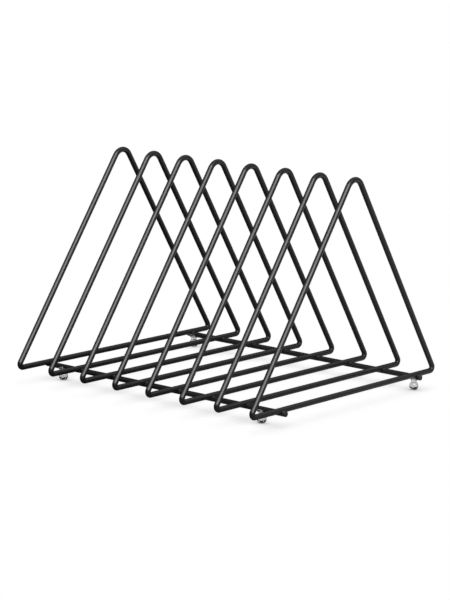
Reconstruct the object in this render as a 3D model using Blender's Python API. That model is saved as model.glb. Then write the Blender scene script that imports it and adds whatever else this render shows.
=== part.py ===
"""Newspaper rack: bent-wire triangles welded across two base rods, standing on clip-on feet.

Metres, +Z up. X runs through the row of dividers, Y runs along each divider's base, and z = 0
is the surface that the feet stand on. The origin is the middle of the rack on that surface.
"""
import math

import bmesh
import bpy
from mathutils import Matrix, Vector

# Wire stock, shared by the dividers and the base rods
WIRE_DIAMETER = 0.0046
WIRE_BEVEL_RESOLUTION = 3
WIRE_SIDES = 12

# Dividers: closed triangles, sized between the corners that their straight runs point at
DIVIDER_COUNT = 8
DIVIDER_PITCH = 0.0350
DIVIDER_BASE = 0.2500
DIVIDER_RISE = 0.1805
APEX_BEND_RADIUS = 0.0105
CORNER_BEND_RADIUS = 0.0030
APEX_BEND_STEPS = 7
CORNER_BEND_STEPS = 6

# Base rods: they run along X under the dividers, welded into them by part of a diameter
FRONT_ROD_Y = -0.0850
REAR_ROD_Y = 0.1000
ROD_OVERHANG = 0.0045
ROD_SET_DOWN = 0.55 * WIRE_DIAMETER
ROD_END_CHAMFER = 0.0004

# Feet: a ball with a flat underside, on a neck under a half-round clip that holds the rod
FOOT_DROP = 0.0110
BALL_RADIUS = 0.0039
BALL_CENTRE_HEIGHT = 0.0033
NECK_RADIUS = 0.0023
NECK_TOP_BELOW_ROD = 0.0030
CLIP_OUTER_RADIUS = 0.0035
CLIP_LENGTH = 0.0050
FOOT_SIDES = 16
BALL_STEPS = 6
CLIP_STEPS = 10
FRONT_FOOT_INSETS = (0.0145, 0.0195)
REAR_FOOT_INSETS = (0.0025, 0.0025)

# Room left between pieces that touch
FIT_GAP = 0.0003

WIRE_RADIUS = WIRE_DIAMETER / 2
ROW_LENGTH = (DIVIDER_COUNT - 1) * DIVIDER_PITCH
ROD_HEIGHT = FOOT_DROP
RUN_HEIGHT = ROD_HEIGHT + ROD_SET_DOWN


def clear_scene():
    """Remove the objects that a new file starts with."""
    for existing in list(bpy.data.objects):
        bpy.data.objects.remove(existing, do_unlink=True)


def principled(name, colour, roughness, transmission=0.0, coat=0.0):
    """A material with one Principled BSDF."""
    material = bpy.data.materials.new(name)
    material.use_nodes = True
    shader = material.node_tree.nodes["Principled BSDF"]
    shader.inputs["Base Color"].default_value = (*colour, 1.0)
    shader.inputs["Roughness"].default_value = roughness
    shader.inputs["Transmission Weight"].default_value = transmission
    shader.inputs["Coat Weight"].default_value = coat
    material.diffuse_color = (*colour, 1.0)
    return material


def add_object(name, data, material, location=(0.0, 0.0, 0.0)):
    """Link a mesh or curve to the scene as one named sub-part."""
    if material.name not in data.materials:
        data.materials.append(material)
    part = bpy.data.objects.new(name, data)
    part.location = location
    bpy.context.scene.collection.objects.link(part)
    return part


def mesh_from(bm, name):
    """Close a bmesh into mesh data with its faces pointing out and its round sides smooth."""
    bmesh.ops.recalc_face_normals(bm, faces=bm.faces)
    data = bpy.data.meshes.new(name)
    bm.to_mesh(data)
    bm.free()
    data.shade_smooth()
    data.set_sharp_from_angle(angle=math.radians(35))
    return data


def rounded_corner(previous, corner, following, radius, steps):
    """Points of the bend that rounds one corner of a wire, from its first to its last tangent."""
    towards_previous = (previous - corner).normalized()
    towards_following = (following - corner).normalized()
    half_angle = towards_previous.angle(towards_following) / 2
    bisector = (towards_previous + towards_following).normalized()
    centre = corner + bisector * (radius / math.sin(half_angle))
    start = corner + towards_previous * (radius / math.tan(half_angle)) - centre
    axis = start.cross(bisector).normalized()
    turn = math.pi - 2 * half_angle
    points = []
    for step in range(steps + 1):
        rotation = Matrix.Rotation(-turn * step / steps, 3, axis)
        points.append(centre + rotation @ start)
    return points


def divider_outline():
    """Centreline of one divider in its own YZ plane, with z = 0 on its bottom run."""
    front = Vector((0.0, -DIVIDER_BASE / 2, 0.0))
    apex = Vector((0.0, 0.0, DIVIDER_RISE))
    rear = Vector((0.0, DIVIDER_BASE / 2, 0.0))
    outline = rounded_corner(rear, front, apex, CORNER_BEND_RADIUS, CORNER_BEND_STEPS)
    outline += rounded_corner(front, apex, rear, APEX_BEND_RADIUS, APEX_BEND_STEPS)
    outline += rounded_corner(apex, rear, front, CORNER_BEND_RADIUS, CORNER_BEND_STEPS)
    return outline


def divider_curve():
    """One closed wire triangle, shared by every divider."""
    outline = divider_outline()
    curve = bpy.data.curves.new("divider", "CURVE")
    curve.dimensions = "3D"
    curve.bevel_depth = WIRE_RADIUS
    curve.bevel_resolution = WIRE_BEVEL_RESOLUTION
    spline = curve.splines.new("POLY")
    spline.points.add(len(outline) - 1)
    for spline_point, place in zip(spline.points, outline):
        spline_point.co = (*place, 1.0)
    spline.use_cyclic_u = True
    return curve


def divider_places():
    """X position of every divider."""
    return [index * DIVIDER_PITCH - ROW_LENGTH / 2 for index in range(DIVIDER_COUNT)]


def add_dividers(material):
    """Eight equal triangles, standing side by side."""
    curve = divider_curve()
    for number, x in enumerate(divider_places(), start=1):
        add_object(f"divider_{number}", curve, material, (x, 0.0, RUN_HEIGHT))


def seat_cutter(material):
    """Wires in place of the bottom runs, a gap fatter, that notch the rods."""
    bm = bmesh.new()
    for x in divider_places():
        lay_along_y = Matrix.Rotation(math.pi / 2, 4, "X")
        place = Matrix.Translation((x, 0.0, RUN_HEIGHT)) @ lay_along_y
        bmesh.ops.create_cone(
            bm, cap_ends=True, segments=WIRE_SIDES, radius1=WIRE_RADIUS + FIT_GAP,
            radius2=WIRE_RADIUS + FIT_GAP, depth=DIVIDER_BASE, matrix=place)
    cutter = add_object("divider_seats", mesh_from(bm, "divider_seats"), material)
    cutter.hide_render = True
    cutter.display_type = "WIRE"
    return cutter


def add_rod(name, y, cutter, material):
    """One straight base rod with chamfered ends and a notch under every divider."""
    length = ROW_LENGTH + 2 * ROD_OVERHANG
    bm = bmesh.new()
    lay_along_x = Matrix.Rotation(math.pi / 2, 4, "Y")
    bmesh.ops.create_cone(
        bm, cap_ends=True, segments=WIRE_SIDES, radius1=WIRE_RADIUS, radius2=WIRE_RADIUS,
        depth=length, matrix=lay_along_x)
    end_faces = [face for face in bm.faces if abs(face.normal.x) > 0.9]
    end_edges = {edge for face in end_faces for edge in face.edges}
    bmesh.ops.bevel(bm, geom=list(end_edges), offset=ROD_END_CHAMFER, segments=1, affect="EDGES")
    rod = add_object(name, mesh_from(bm, name), material, (0.0, y, ROD_HEIGHT))
    notches = rod.modifiers.new("divider_notches", "BOOLEAN")
    notches.operation = "DIFFERENCE"
    notches.object = cutter
    return rod


def foot_ball_mesh():
    """Ball and neck turned about Z, with z = 0 on the rod's axis."""
    floor = -FOOT_DROP
    ball_centre = floor + BALL_CENTRE_HEIGHT
    flat_angle = math.asin(-BALL_CENTRE_HEIGHT / BALL_RADIUS)
    neck_angle = math.acos(NECK_RADIUS / BALL_RADIUS)
    profile = [(0.0, floor)]
    for step in range(BALL_STEPS + 1):
        angle = flat_angle + (neck_angle - flat_angle) * step / BALL_STEPS
        profile.append((BALL_RADIUS * math.cos(angle), ball_centre + BALL_RADIUS * math.sin(angle)))
    profile.append((NECK_RADIUS, -NECK_TOP_BELOW_ROD))
    profile.append((0.0, -NECK_TOP_BELOW_ROD))
    bm = bmesh.new()
    points = [bm.verts.new((radius, 0.0, z)) for radius, z in profile]
    edges = [bm.edges.new(pair) for pair in zip(points, points[1:])]
    bmesh.ops.spin(
        bm, geom=points + edges, cent=(0.0, 0.0, 0.0), axis=(0.0, 0.0, 1.0),
        angle=2 * math.pi, steps=FOOT_SIDES, use_merge=True)
    bmesh.ops.remove_doubles(bm, verts=bm.verts, dist=0.000001)
    return mesh_from(bm, "foot_ball")


def foot_clip_mesh():
    """Half-round clip along X that the rod lies in."""
    inner_radius = WIRE_RADIUS + FIT_GAP
    section = []
    for step in range(CLIP_STEPS + 1):
        angle = math.pi + math.pi * step / CLIP_STEPS
        section.append((CLIP_OUTER_RADIUS * math.cos(angle), CLIP_OUTER_RADIUS * math.sin(angle)))
    for step in range(CLIP_STEPS + 1):
        angle = 2 * math.pi - math.pi * step / CLIP_STEPS
        section.append((inner_radius * math.cos(angle), inner_radius * math.sin(angle)))
    bm = bmesh.new()
    outline = [bm.verts.new((-CLIP_LENGTH / 2, y, z)) for y, z in section]
    face = bm.faces.new(outline)
    extruded = bmesh.ops.extrude_face_region(bm, geom=[face])
    moved = [item for item in extruded["geom"] if isinstance(item, bmesh.types.BMVert)]
    bmesh.ops.translate(bm, verts=moved, vec=(CLIP_LENGTH, 0.0, 0.0))
    return mesh_from(bm, "foot_clip")


def foot_mesh(material):
    """Ball, neck and clip joined into one moulding, shared by the four feet."""
    ball = add_object("foot_ball", foot_ball_mesh(), material)
    clip = add_object("foot_clip", foot_clip_mesh(), material)
    joined = ball.modifiers.new("clip", "BOOLEAN")
    joined.operation = "UNION"
    joined.object = clip
    evaluated = ball.evaluated_get(bpy.context.evaluated_depsgraph_get())
    data = bpy.data.meshes.new_from_object(evaluated)
    data.name = "foot"
    for scaffold in (ball, clip):
        bpy.data.objects.remove(scaffold, do_unlink=True)
    return data


def add_feet(material):
    """Two feet on each rod, each set in from its own end of the row."""
    data = foot_mesh(material)
    rods = (("front", FRONT_ROD_Y, FRONT_FOOT_INSETS), ("rear", REAR_ROD_Y, REAR_FOOT_INSETS))
    for row, y, insets in rods:
        for side, sign, inset in zip(("left", "right"), (-1, 1), insets):
            x = sign * (ROW_LENGTH / 2 - inset)
            add_object(f"foot_{row}_{side}", data, material, (x, y, ROD_HEIGHT))


def main():
    clear_scene()
    black_powder_coat = principled("black_powder_coat", (0.018, 0.018, 0.019), 0.45, coat=0.2)
    clear_plastic = principled("clear_plastic", (0.80, 0.82, 0.83), 0.08, transmission=0.9)
    add_dividers(black_powder_coat)
    cutter = seat_cutter(black_powder_coat)
    add_rod("front_base_rod", FRONT_ROD_Y, cutter, black_powder_coat)
    add_rod("rear_base_rod", REAR_ROD_Y, cutter, black_powder_coat)
    add_feet(clear_plastic)


main()
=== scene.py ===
"""Looks of the newspaper rack: smooth bent wire, weld beads, clear clip-on feet and their finishes.

Metres, +Z up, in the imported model's own frame. The feet stand on z = 0, X runs through the row of
dividers, and Y runs along each divider's bottom run.
"""
import math

import bmesh
import bpy
from mathutils import Matrix, Vector


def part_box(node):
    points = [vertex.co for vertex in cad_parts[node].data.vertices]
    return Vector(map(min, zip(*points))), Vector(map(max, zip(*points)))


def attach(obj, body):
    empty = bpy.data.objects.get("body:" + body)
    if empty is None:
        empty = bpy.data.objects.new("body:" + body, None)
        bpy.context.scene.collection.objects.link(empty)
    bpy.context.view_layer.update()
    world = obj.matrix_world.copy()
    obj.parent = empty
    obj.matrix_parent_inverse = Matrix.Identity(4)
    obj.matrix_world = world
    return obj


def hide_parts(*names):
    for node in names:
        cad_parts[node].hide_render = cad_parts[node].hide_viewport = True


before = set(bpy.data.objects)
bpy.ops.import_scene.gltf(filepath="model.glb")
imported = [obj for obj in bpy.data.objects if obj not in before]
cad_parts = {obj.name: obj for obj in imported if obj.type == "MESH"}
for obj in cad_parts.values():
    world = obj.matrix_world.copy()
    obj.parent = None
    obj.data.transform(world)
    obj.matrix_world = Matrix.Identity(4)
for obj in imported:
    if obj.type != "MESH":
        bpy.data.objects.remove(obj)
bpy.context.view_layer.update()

# Wire, the same stock for the dividers and the base rods
WIRE_RADIUS = 0.0023
WIRE_SIDES = 32

# Dividers, sized between the corners that their straight runs point at
DIVIDERS = [f"divider_{number}" for number in range(1, 9)]
DIVIDER_BASE = 0.2500
DIVIDER_RISE = 0.1805
APEX_BEND_RADIUS = 0.0105
APEX_BEND_STEPS = 28
CORNER_BEND_RADIUS = 0.0030
CORNER_BEND_STEPS = 22
LEG_ANGLE = math.atan2(DIVIDER_RISE, DIVIDER_BASE / 2)

# Base rods, set down under the bottom runs by part of a wire
RODS = ["front_base_rod", "rear_base_rod"]
ROD_SET_DOWN = 1.1 * WIRE_RADIUS
ROD_END_BEVEL = 0.0005
ROD_END_BEVEL_STEPS = 4
SEAT_GAP = 0.00002

# Weld beads round each crossing
BEAD_RING_RADIUS = 0.0025
BEAD_RING_SIDES = 48
BEAD_THICKNESS = 0.00055
BEAD_SIDES = 14
BEAD_SADDLE = 0.0010
BEAD_SADDLE_START = 0.85 * BEAD_RING_RADIUS
BEAD_SADDLE_REACH = BEAD_RING_RADIUS * 0.7
BEAD_LUMP_SIZE = 0.0012
BEAD_LUMP_HEIGHT = 0.0002

# How near counts as on a cutting plane or as the same point
TINY = 0.000001
# How much of a face's normal lies along the way it faces
FACING = 0.9
# Faces that meet at less than this are one round surface, or one flat one
SMOOTH_ANGLE = math.radians(40)
FLAT_ANGLE = math.radians(1.0)

# Feet
FEET = ["foot_front_left", "foot_front_right", "foot_rear_left", "foot_rear_right"]
BALL_RADIUS = 0.0039
BALL_CENTRE_HEIGHT = 0.0033
BALL_SEGMENTS = 48
BALL_RINGS = 32
BALL_RIM_BEVEL = 0.0003
BALL_RIM_BEVEL_STEPS = 4
NECK_RADIUS = 0.0023
NECK_GAP = 0.0002
CLIP_OUTER_RADIUS = 0.0035
CLIP_LENGTH = 0.0050
CLIP_GAP = 0.00005
CLIP_RIM_BEVEL = 0.00022
CLIP_RIM_BEVEL_STEPS = 3


def middle(node):
    """Centre of a CAD node's box."""
    low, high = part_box(node)
    return (low + high) / 2


ROD_HEIGHT = middle(RODS[0]).z
RUN_HEIGHT = ROD_HEIGHT + ROD_SET_DOWN
ROD_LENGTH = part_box(RODS[0])[1].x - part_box(RODS[0])[0].x


# ---------------------------------------------------------------- modelling helpers


def deselect():
    """Leave nothing selected, so that the next operator acts on its own piece alone."""
    bpy.ops.object.select_all(action="DESELECT")


def new_piece(name):
    """Name the primitive that was just added and put its place into its mesh."""
    piece = bpy.context.active_object
    piece.name = name
    piece.data.name = name
    bpy.ops.object.transform_apply(location=True, rotation=True, scale=True)
    return piece


def pick(piece):
    """Make a piece the only selected one and the active one."""
    deselect()
    piece.select_set(True)
    bpy.context.view_layer.objects.active = piece


def open_up(piece):
    """Go into edit mode on a piece, with all of it selected."""
    pick(piece)
    bpy.ops.object.mode_set(mode="EDIT")
    bpy.ops.mesh.select_all(action="SELECT")


def close_up():
    """Come back from edit mode."""
    bpy.ops.object.mode_set(mode="OBJECT")


def select_where(piece, kind, test):
    """In edit mode, select only the verts, edges or faces that pass a test."""
    bpy.ops.mesh.select_all(action="DESELECT")
    bpy.ops.mesh.select_mode(type={"verts": "VERT", "edges": "EDGE", "faces": "FACE"}[kind])
    mesh = bmesh.from_edit_mesh(piece.data)
    for item in getattr(mesh, kind):
        item.select_set(test(item))
    mesh.select_flush_mode()
    bmesh.update_edit_mesh(piece.data)


def copy_piece(piece, name, offset):
    """A copy with its own mesh, moved along by an offset that goes into the mesh."""
    pick(piece)
    bpy.ops.object.duplicate(linked=False)
    bpy.ops.transform.translate(value=offset)
    return new_piece(name)


def cut(piece, cutter, operation="DIFFERENCE"):
    """Apply one Boolean of a piece with another."""
    pick(piece)
    boolean = piece.modifiers.new("cut", "BOOLEAN")
    boolean.operation = operation
    boolean.solver = "EXACT"
    boolean.object = cutter
    bpy.ops.object.modifier_apply(modifier=boolean.name)


def join(pieces, name):
    """Join several pieces into one."""
    pick(pieces[0])
    for piece in pieces:
        piece.select_set(True)
    bpy.ops.object.join()
    joined = bpy.context.active_object
    joined.name = name
    joined.data.name = name
    return joined


def tidy_faces(piece):
    """Merge doubled points, turn every face outwards and shade the round faces smooth."""
    open_up(piece)
    bpy.ops.mesh.remove_doubles(threshold=TINY)
    bpy.ops.mesh.normals_make_consistent(inside=False)
    close_up()
    bpy.ops.object.shade_smooth_by_angle(angle=SMOOTH_ANGLE)


def dress(piece, material):
    """Give a finished piece its material and its slot, and let it ride on the rack."""
    piece.data.materials.clear()
    piece.data.materials.append(material)
    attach(piece, "root")


# ---------------------------------------------------------------- wire


def draw_out(x=0.0, y=0.0, z=0.0):
    """Pull the selected end of a piece straight."""
    bpy.ops.mesh.extrude_region_move(TRANSFORM_OT_translate={"value": (x, y, z)})


def bend_wire(centre, turn, steps):
    """Bend the open end of the wire upwards or over, round an axis along X."""
    bpy.ops.mesh.spin(steps=steps, angle=turn, center=centre, axis=(-1.0, 0.0, 0.0))


def wire_divider(name):
    """One closed wire triangle, drawn and bent from the middle of its bottom run and back to it."""
    x = middle(name).x
    corner_inset = CORNER_BEND_RADIUS / math.tan(LEG_ANGLE / 2)
    half_run = DIVIDER_BASE / 2 - corner_inset
    apex_inset = APEX_BEND_RADIUS * math.tan(LEG_ANGLE)
    leg = math.hypot(DIVIDER_BASE / 2, DIVIDER_RISE) - corner_inset - apex_inset
    leg_y = leg * math.cos(LEG_ANGLE)
    leg_z = leg * math.sin(LEG_ANGLE)
    corner_height = RUN_HEIGHT + CORNER_BEND_RADIUS
    apex_height = RUN_HEIGHT + DIVIDER_RISE - APEX_BEND_RADIUS / math.cos(LEG_ANGLE)
    deselect()
    bpy.ops.mesh.primitive_circle_add(
        vertices=WIRE_SIDES, radius=WIRE_RADIUS, fill_type="NOTHING",
        location=(x, 0.0, RUN_HEIGHT), rotation=(math.pi / 2, 0.0, 0.0))
    divider = new_piece(name + "_wire")
    open_up(divider)
    draw_out(y=half_run)
    bend_wire((x, half_run, corner_height), math.pi - LEG_ANGLE, CORNER_BEND_STEPS)
    draw_out(y=-leg_y, z=leg_z)
    bend_wire((x, 0.0, apex_height), 2 * LEG_ANGLE, APEX_BEND_STEPS)
    draw_out(y=-leg_y, z=-leg_z)
    bend_wire((x, -half_run, corner_height), math.pi - LEG_ANGLE, CORNER_BEND_STEPS)
    draw_out(y=half_run)
    close_up()
    tidy_faces(divider)
    return divider


def straight_wire(name, centre, length, along, radius=WIRE_RADIUS):
    """A plain length of wire along X or Y, capped."""
    turned = {"X": (0.0, math.pi / 2, 0.0), "Y": (math.pi / 2, 0.0, 0.0)}[along]
    deselect()
    bpy.ops.mesh.primitive_cylinder_add(
        vertices=WIRE_SIDES, radius=radius, depth=length, location=centre, rotation=turned)
    return new_piece(name)


def run_cutter(radius):
    """Wires in place of the eight bottom runs, to notch the rods and trim the beads."""
    start = middle(DIVIDERS[0]).x
    first = straight_wire("run_cutter", (start, 0.0, RUN_HEIGHT), DIVIDER_BASE, "Y", radius)
    runs = [first]
    for divider in DIVIDERS[1:]:
        step = middle(divider).x - start
        runs.append(copy_piece(first, "run_cutter", (step, 0.0, 0.0)))
    return join(runs, "run_cutter")


def base_rod(name, cutter):
    """A straight rod with rounded end edges, notched under every divider."""
    rod = straight_wire(name + "_wire", middle(name), ROD_LENGTH, "X")
    open_up(rod)
    select_where(rod, "faces", lambda face: abs(face.normal.x) > FACING)
    bpy.ops.mesh.bevel(
        offset=ROD_END_BEVEL, segments=ROD_END_BEVEL_STEPS, profile=0.5, affect="EDGES")
    close_up()
    cut(rod, cutter)
    tidy_faces(rod)
    return rod


# ---------------------------------------------------------------- weld beads


def weld_bead(divider, rod):
    """A ring of squeezed-out weld that rises to the run's sides and dips to the rod's."""
    centre = Vector((middle(divider).x, middle(rod).y, (RUN_HEIGHT + ROD_HEIGHT) / 2))
    deselect()
    bpy.ops.mesh.primitive_torus_add(
        location=centre, major_radius=BEAD_RING_RADIUS, minor_radius=BEAD_THICKNESS,
        major_segments=BEAD_RING_SIDES, minor_segments=BEAD_SIDES)
    bead = new_piece("bead")
    open_up(bead)
    for axis, lift in (("x", BEAD_SADDLE), ("y", -BEAD_SADDLE)):
        select_where(
            bead, "verts",
            lambda vert: abs(getattr(vert.co - centre, axis)) > BEAD_SADDLE_START)
        bpy.ops.transform.translate(
            value=(0.0, 0.0, lift), use_proportional_edit=True,
            proportional_edit_falloff="SMOOTH", proportional_size=BEAD_SADDLE_REACH)
    close_up()
    return bead


def rod_welds(name, rod, runs):
    """The eight beads along one rod, each a little uneven, trimmed to the wires they join."""
    first = weld_bead(DIVIDERS[0], rod)
    beads = [first]
    for divider in DIVIDERS[1:]:
        step = middle(divider).x - middle(DIVIDERS[0]).x
        beads.append(copy_piece(first, "bead", (step, 0.0, 0.0)))
    welds = join(beads, name)
    lumps = bpy.data.textures.new(name + "_lumps", "CLOUDS")
    lumps.noise_scale = BEAD_LUMP_SIZE
    uneven = welds.modifiers.new("uneven", "DISPLACE")
    uneven.texture = lumps
    uneven.texture_coords = "LOCAL"
    uneven.strength = BEAD_LUMP_HEIGHT
    uneven.mid_level = 0.5
    pick(welds)
    bpy.ops.object.modifier_apply(modifier=uneven.name)
    rod_core = straight_wire("rod_core", middle(rod), ROD_LENGTH, "X")
    cut(welds, runs)
    cut(welds, rod_core)
    bpy.data.objects.remove(rod_core, do_unlink=True)
    open_up(welds)
    bpy.ops.mesh.dissolve_limited(angle_limit=FLAT_ANGLE)
    bpy.ops.mesh.quads_convert_to_tris(quad_method="BEAUTY", ngon_method="BEAUTY")
    close_up()
    tidy_faces(welds)
    return welds


# ---------------------------------------------------------------- feet


def slice_off(height, below):
    """In edit mode, cut what is selected level at a height and close it with one flat face."""
    bpy.ops.mesh.bisect(
        plane_co=(0.0, 0.0, height), plane_no=(0.0, 0.0, 1.0), use_fill=True,
        clear_inner=below, clear_outer=not below, threshold=TINY)


def lies_flat_at(face, height):
    """Whether a face is level and lies at a height."""
    level = abs(face.normal.z) > FACING
    return level and abs(face.calc_center_median().z - height) < 10 * TINY


def ball_and_neck(centre):
    """A ball with a flat underside, drawn up into a neck that ends inside the clip."""
    neck_base = BALL_CENTRE_HEIGHT + math.sqrt(BALL_RADIUS ** 2 - NECK_RADIUS ** 2)
    neck_top = ROD_HEIGHT - WIRE_RADIUS - NECK_GAP
    deselect()
    bpy.ops.mesh.primitive_uv_sphere_add(
        segments=BALL_SEGMENTS, ring_count=BALL_RINGS, radius=BALL_RADIUS,
        location=(centre.x, centre.y, BALL_CENTRE_HEIGHT))
    ball = new_piece("ball")
    open_up(ball)
    slice_off(0.0, below=True)
    bpy.ops.mesh.select_all(action="SELECT")
    slice_off(neck_base, below=False)
    select_where(ball, "faces", lambda face: lies_flat_at(face, neck_base))
    draw_out(z=neck_top - neck_base)
    select_where(ball, "faces", lambda face: lies_flat_at(face, 0.0))
    bpy.ops.mesh.bevel(
        offset=BALL_RIM_BEVEL, segments=BALL_RIM_BEVEL_STEPS, profile=0.5, affect="EDGES")
    close_up()
    return ball


def half_round_clip(centre):
    """The saddle that holds the rod: a half sleeve along X with rounded rims."""
    clip = straight_wire("clip", centre, CLIP_LENGTH, "X", CLIP_OUTER_RADIUS)
    bore = straight_wire("bore", centre, CLIP_LENGTH * 2, "X", WIRE_RADIUS + CLIP_GAP)
    open_up(clip)
    bpy.ops.mesh.bisect(
        plane_co=centre, plane_no=(0.0, 0.0, 1.0), use_fill=True, clear_outer=True,
        threshold=TINY)
    close_up()
    cut(clip, bore)
    bpy.data.objects.remove(bore, do_unlink=True)
    rounded = clip.modifiers.new("rounded", "BEVEL")
    rounded.width = CLIP_RIM_BEVEL
    rounded.segments = CLIP_RIM_BEVEL_STEPS
    rounded.limit_method = "ANGLE"
    rounded.angle_limit = SMOOTH_ANGLE
    pick(clip)
    bpy.ops.object.modifier_apply(modifier=rounded.name)
    return clip


def clip_on_foot(node):
    """Ball, neck and clip as one moulding."""
    low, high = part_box(node)
    centre = Vector(((low.x + high.x) / 2, (low.y + high.y) / 2, ROD_HEIGHT))
    foot = ball_and_neck(centre)
    clip = half_round_clip(centre)
    cut(foot, clip, "UNION")
    bpy.data.objects.remove(clip, do_unlink=True)
    foot.name = node + "_moulding"
    foot.data.name = node + "_moulding"
    tidy_faces(foot)
    return foot


# ---------------------------------------------------------------- shared effects


def new_group(name, inputs, outputs):
    """An empty shader group with named sockets."""
    group = bpy.data.node_groups.new(name, "ShaderNodeTree")
    for label, kind, value in inputs:
        socket = group.interface.new_socket(name=label, in_out="INPUT", socket_type=kind)
        if value is not None:
            socket.default_value = value
    for label, kind in outputs:
        group.interface.new_socket(name=label, in_out="OUTPUT", socket_type=kind)
    return group, group.nodes.new("NodeGroupInput"), group.nodes.new("NodeGroupOutput")


def add_node(tree, kind, settings=(), **values):
    """A node with some settings, and with values for its sockets by name."""
    node = tree.nodes.new(kind)
    for label, value in dict(settings).items():
        setattr(node, label, value)
    for label, value in values.items():
        node.inputs[label.replace("_", " ")].default_value = value
    return node


def noise(tree, place, scale, detail):
    """Noise texture output over a place; the scale is a number or a socket."""
    texture = add_node(tree, "ShaderNodeTexNoise", Detail=detail)
    tree.links.new(place, texture.inputs["Vector"])
    if isinstance(scale, (int, float)):
        texture.inputs["Scale"].default_value = scale
    else:
        tree.links.new(scale, texture.inputs["Scale"])
    return texture.outputs["Fac"]


def maths(tree, operation, first, second, clamp=False):
    """One Math node on two numbers or sockets."""
    node = add_node(tree, "ShaderNodeMath", {"operation": operation, "use_clamp": clamp})
    for socket, value in zip(node.inputs, (first, second)):
        if isinstance(value, (int, float)):
            socket.default_value = value
        else:
            tree.links.new(value, socket)
    return node.outputs[0]


def spread(tree, value, low, high, to_low=0.0, to_high=1.0):
    """Map Range from one span to another, clamped; each end is a number or a socket."""
    node = add_node(tree, "ShaderNodeMapRange")
    tree.links.new(value, node.inputs["Value"])
    ends = {"From Min": low, "From Max": high, "To Min": to_low, "To Max": to_high}
    for label, end in ends.items():
        if isinstance(end, (int, float)):
            node.inputs[label].default_value = end
        else:
            tree.links.new(end, node.inputs[label])
    return node.outputs["Result"]


def mix_colours(tree, factor, first, second):
    """Colour mix of two sockets by a mask."""
    node = add_node(tree, "ShaderNodeMix", {"data_type": "RGBA"})
    tree.links.new(factor, node.inputs["Factor"])
    tree.links.new(first, node.inputs["A"])
    tree.links.new(second, node.inputs["B"])
    return next(socket for socket in node.outputs if socket.type == "RGBA")


def grain_group():
    """Height of a sprayed or moulded skin: broad orange peel with a finer stipple on it."""
    group, source, sink = new_group(
        "surface_grain",
        [("Place", "NodeSocketVector", None), ("Peel Scale", "NodeSocketFloat", 900.0),
         ("Stipple Scale", "NodeSocketFloat", 4200.0), ("Stipple Share", "NodeSocketFloat", 0.3)],
        [("Height", "NodeSocketFloat")])
    place = source.outputs["Place"]
    peel = noise(group, place, source.outputs["Peel Scale"], 1.5)
    stipple = noise(group, place, source.outputs["Stipple Scale"], 2.0)
    fine = maths(group, "MULTIPLY", stipple, source.outputs["Stipple Share"])
    group.links.new(maths(group, "ADD", peel, fine), sink.inputs["Height"])
    return group


# How much of the colour's change is slow drift, and how much is fine speckle
DRIFT_SHARE = 0.6
SPECKLE_SHARE = 0.4


def drift_group():
    """Slow change of colour and gloss over a surface, with fine speckle."""
    group, source, sink = new_group(
        "finish_drift",
        [("Place", "NodeSocketVector", None), ("Color A", "NodeSocketColor", None),
         ("Color B", "NodeSocketColor", None), ("Roughness A", "NodeSocketFloat", 0.4),
         ("Roughness B", "NodeSocketFloat", 0.5), ("Drift Scale", "NodeSocketFloat", 60.0),
         ("Speckle Scale", "NodeSocketFloat", 2600.0)],
        [("Color", "NodeSocketColor"), ("Roughness", "NodeSocketFloat")])
    place = source.outputs["Place"]
    slow = spread(group, noise(group, place, source.outputs["Drift Scale"], 3.0), 0.3, 0.7)
    speckle = spread(group, noise(group, place, source.outputs["Speckle Scale"], 1.0), 0.35, 0.75)
    drifting = maths(group, "MULTIPLY", slow, DRIFT_SHARE)
    speckled = maths(group, "MULTIPLY", speckle, SPECKLE_SHARE)
    blend = maths(group, "ADD", drifting, speckled)
    colour = mix_colours(group, blend, source.outputs["Color A"], source.outputs["Color B"])
    roughness = spread(
        group, slow, 0.0, 1.0, source.outputs["Roughness A"], source.outputs["Roughness B"])
    group.links.new(colour, sink.inputs["Color"])
    group.links.new(roughness, sink.inputs["Roughness"])
    return group


# Dust lies in patches, thinner between them, and is dull
DUST_PATCH_SCALE = 140.0
DUST_BETWEEN_PATCHES = 0.3
DUST_ROUGHNESS = 0.9


def dust_group():
    """Thin dust that settles on what faces up, in patches."""
    group, source, sink = new_group(
        "settled_dust",
        [("Place", "NodeSocketVector", None), ("Color", "NodeSocketColor", None),
         ("Roughness", "NodeSocketFloat", 0.4),
         ("Dust Color", "NodeSocketColor", (0.32, 0.31, 0.29, 1.0)),
         ("Amount", "NodeSocketFloat", 0.05)],
        [("Color", "NodeSocketColor"), ("Roughness", "NodeSocketFloat")])
    geometry = add_node(group, "ShaderNodeNewGeometry")
    facing = add_node(group, "ShaderNodeSeparateXYZ")
    group.links.new(geometry.outputs["Normal"], facing.inputs[0])
    upward = spread(group, facing.outputs["Z"], 0.2, 1.0)
    cloud = noise(group, source.outputs["Place"], DUST_PATCH_SCALE, 4.0)
    patches = spread(group, cloud, 0.35, 0.7, DUST_BETWEEN_PATCHES, 1.0)
    lying = maths(group, "MULTIPLY", upward, patches)
    cover = maths(group, "MULTIPLY", lying, source.outputs["Amount"], clamp=True)
    colour = mix_colours(group, cover, source.outputs["Color"], source.outputs["Dust Color"])
    roughness = spread(group, cover, 0.0, 1.0, source.outputs["Roughness"], DUST_ROUGHNESS)
    group.links.new(colour, sink.inputs["Color"])
    group.links.new(roughness, sink.inputs["Roughness"])
    return group


SURFACE_GRAIN = grain_group()
FINISH_DRIFT = drift_group()
SETTLED_DUST = dust_group()


# ---------------------------------------------------------------- materials


# Finishes: the least roughness, the scale of the peel and the height of the bump
COAT_ROUGHNESS = 0.28
COAT_PEEL = 900.0
COAT_BUMP = 0.00001
WELD_ROUGHNESS = 0.48
WELD_PEEL = 600.0
WELD_BUMP = 0.00002
ROUGHNESS_SPREAD = 0.07
PLASTIC_PEEL = 500.0
PLASTIC_BUMP = 0.000003


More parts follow.
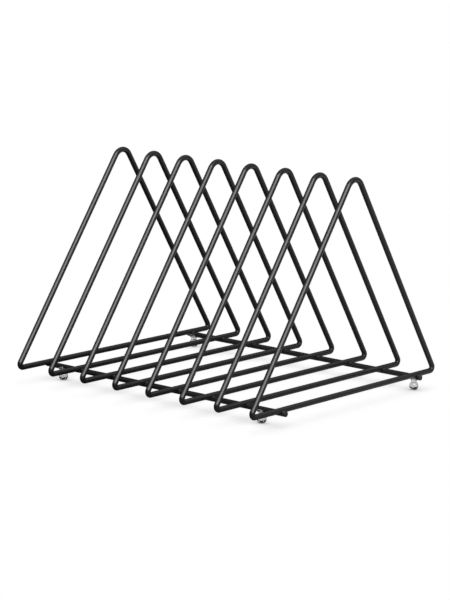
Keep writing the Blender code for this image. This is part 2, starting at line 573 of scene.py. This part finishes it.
def use_group(tree, group, **values):
    """Place a shared effect in a material, with this finish's own values."""
    return add_node(tree, "ShaderNodeGroup", {"node_tree": group}, **values)


def finish(name, drift, grain, dust, bump_height):
    """A Principled material whose colour, roughness and bump come from the shared effects."""
    material = bpy.data.materials.new(name)
    material.use_nodes = True
    tree = material.node_tree
    shader = tree.nodes["Principled BSDF"]
    place = add_node(tree, "ShaderNodeTexCoord").outputs["Object"]
    drifted = use_group(tree, FINISH_DRIFT, **drift)
    dusted = use_group(tree, SETTLED_DUST, **dust)
    grained = use_group(tree, SURFACE_GRAIN, **grain)
    bump = add_node(tree, "ShaderNodeBump", Strength=1.0, Distance=bump_height)
    for effect in (drifted, dusted, grained):
        tree.links.new(place, effect.inputs["Place"])
    tree.links.new(drifted.outputs["Color"], dusted.inputs["Color"])
    tree.links.new(drifted.outputs["Roughness"], dusted.inputs["Roughness"])
    tree.links.new(dusted.outputs["Color"], shader.inputs["Base Color"])
    tree.links.new(dusted.outputs["Roughness"], shader.inputs["Roughness"])
    tree.links.new(grained.outputs["Height"], bump.inputs["Height"])
    tree.links.new(bump.outputs["Normal"], shader.inputs["Normal"])
    return material, shader


def powder_coat(name, roughness, peel_scale, bump_height):
    """Satin black powder coat; over welds it is duller and the peel is coarser."""
    material, shader = finish(
        name,
        drift={"Color_A": (0.0065, 0.0065, 0.0068, 1.0), "Color_B": (0.011, 0.011, 0.0115, 1.0),
               "Roughness_A": roughness, "Roughness_B": roughness + ROUGHNESS_SPREAD},
        grain={"Peel_Scale": peel_scale},
        dust={"Amount": 0.012},
        bump_height=bump_height)
    shader.inputs["Specular IOR Level"].default_value = 0.5
    return material


def clear_plastic(name):
    """Clear glossy moulded plastic with a faint bloom."""
    material, shader = finish(
        name,
        drift={"Color_A": (0.60, 0.605, 0.60, 1.0), "Color_B": (0.52, 0.525, 0.52, 1.0),
               "Roughness_A": 0.05, "Roughness_B": 0.09, "Drift_Scale": 300.0},
        grain={"Peel_Scale": PLASTIC_PEEL, "Stipple_Share": 0.1},
        dust={"Amount": 0.02},
        bump_height=PLASTIC_BUMP)
    shader.inputs["Transmission Weight"].default_value = 1.0
    shader.inputs["IOR"].default_value = 1.49
    return material


# ---------------------------------------------------------------- rack


def repeat_piece(first, nodes, ending, material):
    """Put the first node's piece, or a copy of it, in place of every node."""
    for node in nodes:
        if node == nodes[0]:
            piece = first
        else:
            piece = copy_piece(first, node + ending, middle(node) - middle(nodes[0]))
        dress(piece, material)
        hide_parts(node)


def build_dividers(coat):
    """Eight equal triangles."""
    repeat_piece(wire_divider(DIVIDERS[0]), DIVIDERS, "_wire", coat)


def build_rods_and_welds(coat, weld_coat):
    """Both rods, and the welds that hold the runs in them."""
    seats = run_cutter(WIRE_RADIUS + SEAT_GAP)
    for node in RODS:
        rod = base_rod(node, seats)
        dress(rod, coat)
        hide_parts(node)
        welds = rod_welds(node.replace("_base_rod", "_rod_welds"), node, seats)
        dress(welds, weld_coat)
    bpy.data.objects.remove(seats, do_unlink=True)


def build_feet(plastic):
    """Four clip-on feet."""
    repeat_piece(clip_on_foot(FEET[0]), FEET, "_moulding", plastic)


# ---------------------------------------------------------------- studio

FLOOR_SIZE = 80.0
# Painted contact shadows, darkened into the floor's glow by ambient occlusion and not cast by the
# lamps: how far they reach, how open a place is without one, and the level at their heart
SHADOW_REACH = 0.020
SHADOW_OPENNESS = 0.90
SHADOW_LEVEL = 0.15
SHADOW_SAMPLES = 16
# Painted bounce light: the floor's colour to the rack, graded from darker to lighter from one side
# of it to the other
PAINTED_BOUNCE_START = -0.15
PAINTED_BOUNCE_END = 0.35
PAINTED_BOUNCE_LOW = 0.04
PAINTED_BOUNCE_HIGH = 0.45
# Levels of the floor and the room as seen through the plastic, and of the room as light
FLOOR_THROUGH_PLASTIC = 0.75
ROOM_THROUGH_PLASTIC = 0.04
ROOM_LIGHT = 0.06
# Soft lights: name, azimuth, elevation and width in degrees, power
SOFT_LIGHTS = (
    ("key_left", -15.0, 48.0, 44.0, 0.6),
    ("key", 42.0, 44.5, 44.0, 3.1),
    ("key_right", 74.0, 33.0, 36.0, 0.85),
    ("back", 160.0, 60.0, 90.0, 0.6),
)


def pale_floor():
    """A wide floor, glowing white to the camera but for painted contact shadows, that lights the
    rack dimly with a painted bounce that grows towards one side.
    """
    deselect()
    bpy.ops.mesh.primitive_plane_add(size=FLOOR_SIZE, location=(0.0, 0.0, 0.0))
    floor = new_piece("floor")
    material = bpy.data.materials.new("pale_floor")
    material.use_nodes = True
    tree = material.node_tree
    shader = tree.nodes["Principled BSDF"]
    shader.inputs["Roughness"].default_value = 1.0
    shader.inputs["Specular IOR Level"].default_value = 0.0
    shader.inputs["Emission Color"].default_value = (1.0, 1.0, 1.0, 1.0)
    rays = add_node(tree, "ShaderNodeLightPath")
    seen = rays.outputs["Is Camera Ray"]
    # Painted contact shadows: ambient occlusion darkens the floor's white glow to the camera under
    # and beside the rack
    openness = add_node(
        tree, "ShaderNodeAmbientOcclusion", {"samples": SHADOW_SAMPLES}, Distance=SHADOW_REACH)
    white = spread(tree, openness.outputs["AO"], 0.0, SHADOW_OPENNESS, SHADOW_LEVEL, 1.0)
    # Painted bounce light: the floor's colour to the rack grows lighter towards +X and +Y, standing
    # in for a brighter-lit floor on that side
    place = add_node(tree, "ShaderNodeSeparateXYZ")
    tree.links.new(add_node(tree, "ShaderNodeTexCoord").outputs["Object"], place.inputs[0])
    along = maths(tree, "ADD", place.outputs["X"], place.outputs["Y"])
    bounce = spread(tree, along, PAINTED_BOUNCE_START, PAINTED_BOUNCE_END, PAINTED_BOUNCE_LOW, PAINTED_BOUNCE_HIGH)
    tree.links.new(spread(tree, seen, 0.0, 1.0, bounce, 0.0), shader.inputs["Base Color"])
    through = maths(
        tree, "MULTIPLY", rays.outputs["Is Transmission Ray"], FLOOR_THROUGH_PLASTIC)
    tree.links.new(spread(tree, seen, 0.0, 1.0, through, white), shader.inputs["Emission Strength"])
    floor.data.materials.append(material)


def studio_world():
    """White behind the rack, and a dim even room as the light that reaches it."""
    world = bpy.data.worlds.new("studio")
    bpy.context.scene.world = world
    world.use_nodes = True
    tree = world.node_tree
    background = tree.nodes["Background"]
    rays = add_node(tree, "ShaderNodeLightPath")
    seen_through = rays.outputs["Is Transmission Ray"]
    dim = spread(tree, seen_through, 0.0, 1.0, ROOM_LIGHT, ROOM_THROUGH_PLASTIC)
    strength = spread(tree, rays.outputs["Is Camera Ray"], 0.0, 1.0, dim, 1.0)
    tree.links.new(strength, background.inputs["Strength"])
    background.inputs["Color"].default_value = (1.0, 1.0, 1.0, 1.0)


def soft_light(name, azimuth, elevation, width, power):
    """A distant soft light; azimuth 0 is on the -Y side and 90 on the +X side."""
    light = bpy.data.lights.new(name, "SUN")
    light.angle = math.radians(width)
    light.energy = power
    lamp = bpy.data.objects.new(name, light)
    turn = Matrix.Rotation(math.radians(azimuth), 4, "Z")
    tilt = Matrix.Rotation(math.radians(90.0 - elevation), 4, "X")
    lamp.matrix_world = turn @ tilt
    bpy.context.scene.collection.objects.link(lamp)


# The camera's place round the rack, its lean, how far off the rack's middle it points, its reach
CAMERA_AZIMUTH = 38.6945
CAMERA_ELEVATION = 10.6713
CAMERA_ROLL = 1.6882
CAMERA_DISTANCE = 1.90654
CAMERA_LENS = 136.796
CAMERA_RIGHT = -0.002423
CAMERA_UP = 0.057651
CAMERA_REACH = 200.0


def add_camera():
    """The camera looks past the rack's middle, a little above it, and leans by its roll."""
    azimuth = math.radians(CAMERA_AZIMUTH)
    elevation = math.radians(CAMERA_ELEVATION)
    turn = Matrix.Rotation(azimuth, 4, "Z") @ Matrix.Rotation(math.pi / 2 - elevation, 4, "X")
    turn = turn @ Matrix.Rotation(math.radians(CAMERA_ROLL), 4, "Z")
    camera_data = bpy.data.cameras.new("camera")
    camera_data.lens = CAMERA_LENS
    camera_data.clip_end = CAMERA_REACH
    camera = bpy.data.objects.new("camera", camera_data)
    aim = Matrix.Translation((0.0, 0.0, RUN_HEIGHT))
    stand_off = Matrix.Translation((CAMERA_RIGHT, CAMERA_UP, CAMERA_DISTANCE))
    camera.matrix_world = aim @ turn @ stand_off
    bpy.context.scene.collection.objects.link(camera)
    bpy.context.scene.camera = camera


def main():
    coat = powder_coat("black_powder_coat", COAT_ROUGHNESS, COAT_PEEL, COAT_BUMP)
    weld_coat = powder_coat("black_weld_coat", WELD_ROUGHNESS, WELD_PEEL, WELD_BUMP)
    build_dividers(coat)
    build_rods_and_welds(coat, weld_coat)
    build_feet(clear_plastic("clear_plastic"))
    pale_floor()
    studio_world()
    for name, azimuth, elevation, width, power in SOFT_LIGHTS:
        soft_light(name, azimuth, elevation, width, power)
    add_camera()
    bpy.context.scene.view_settings.view_transform = "Standard"


main()
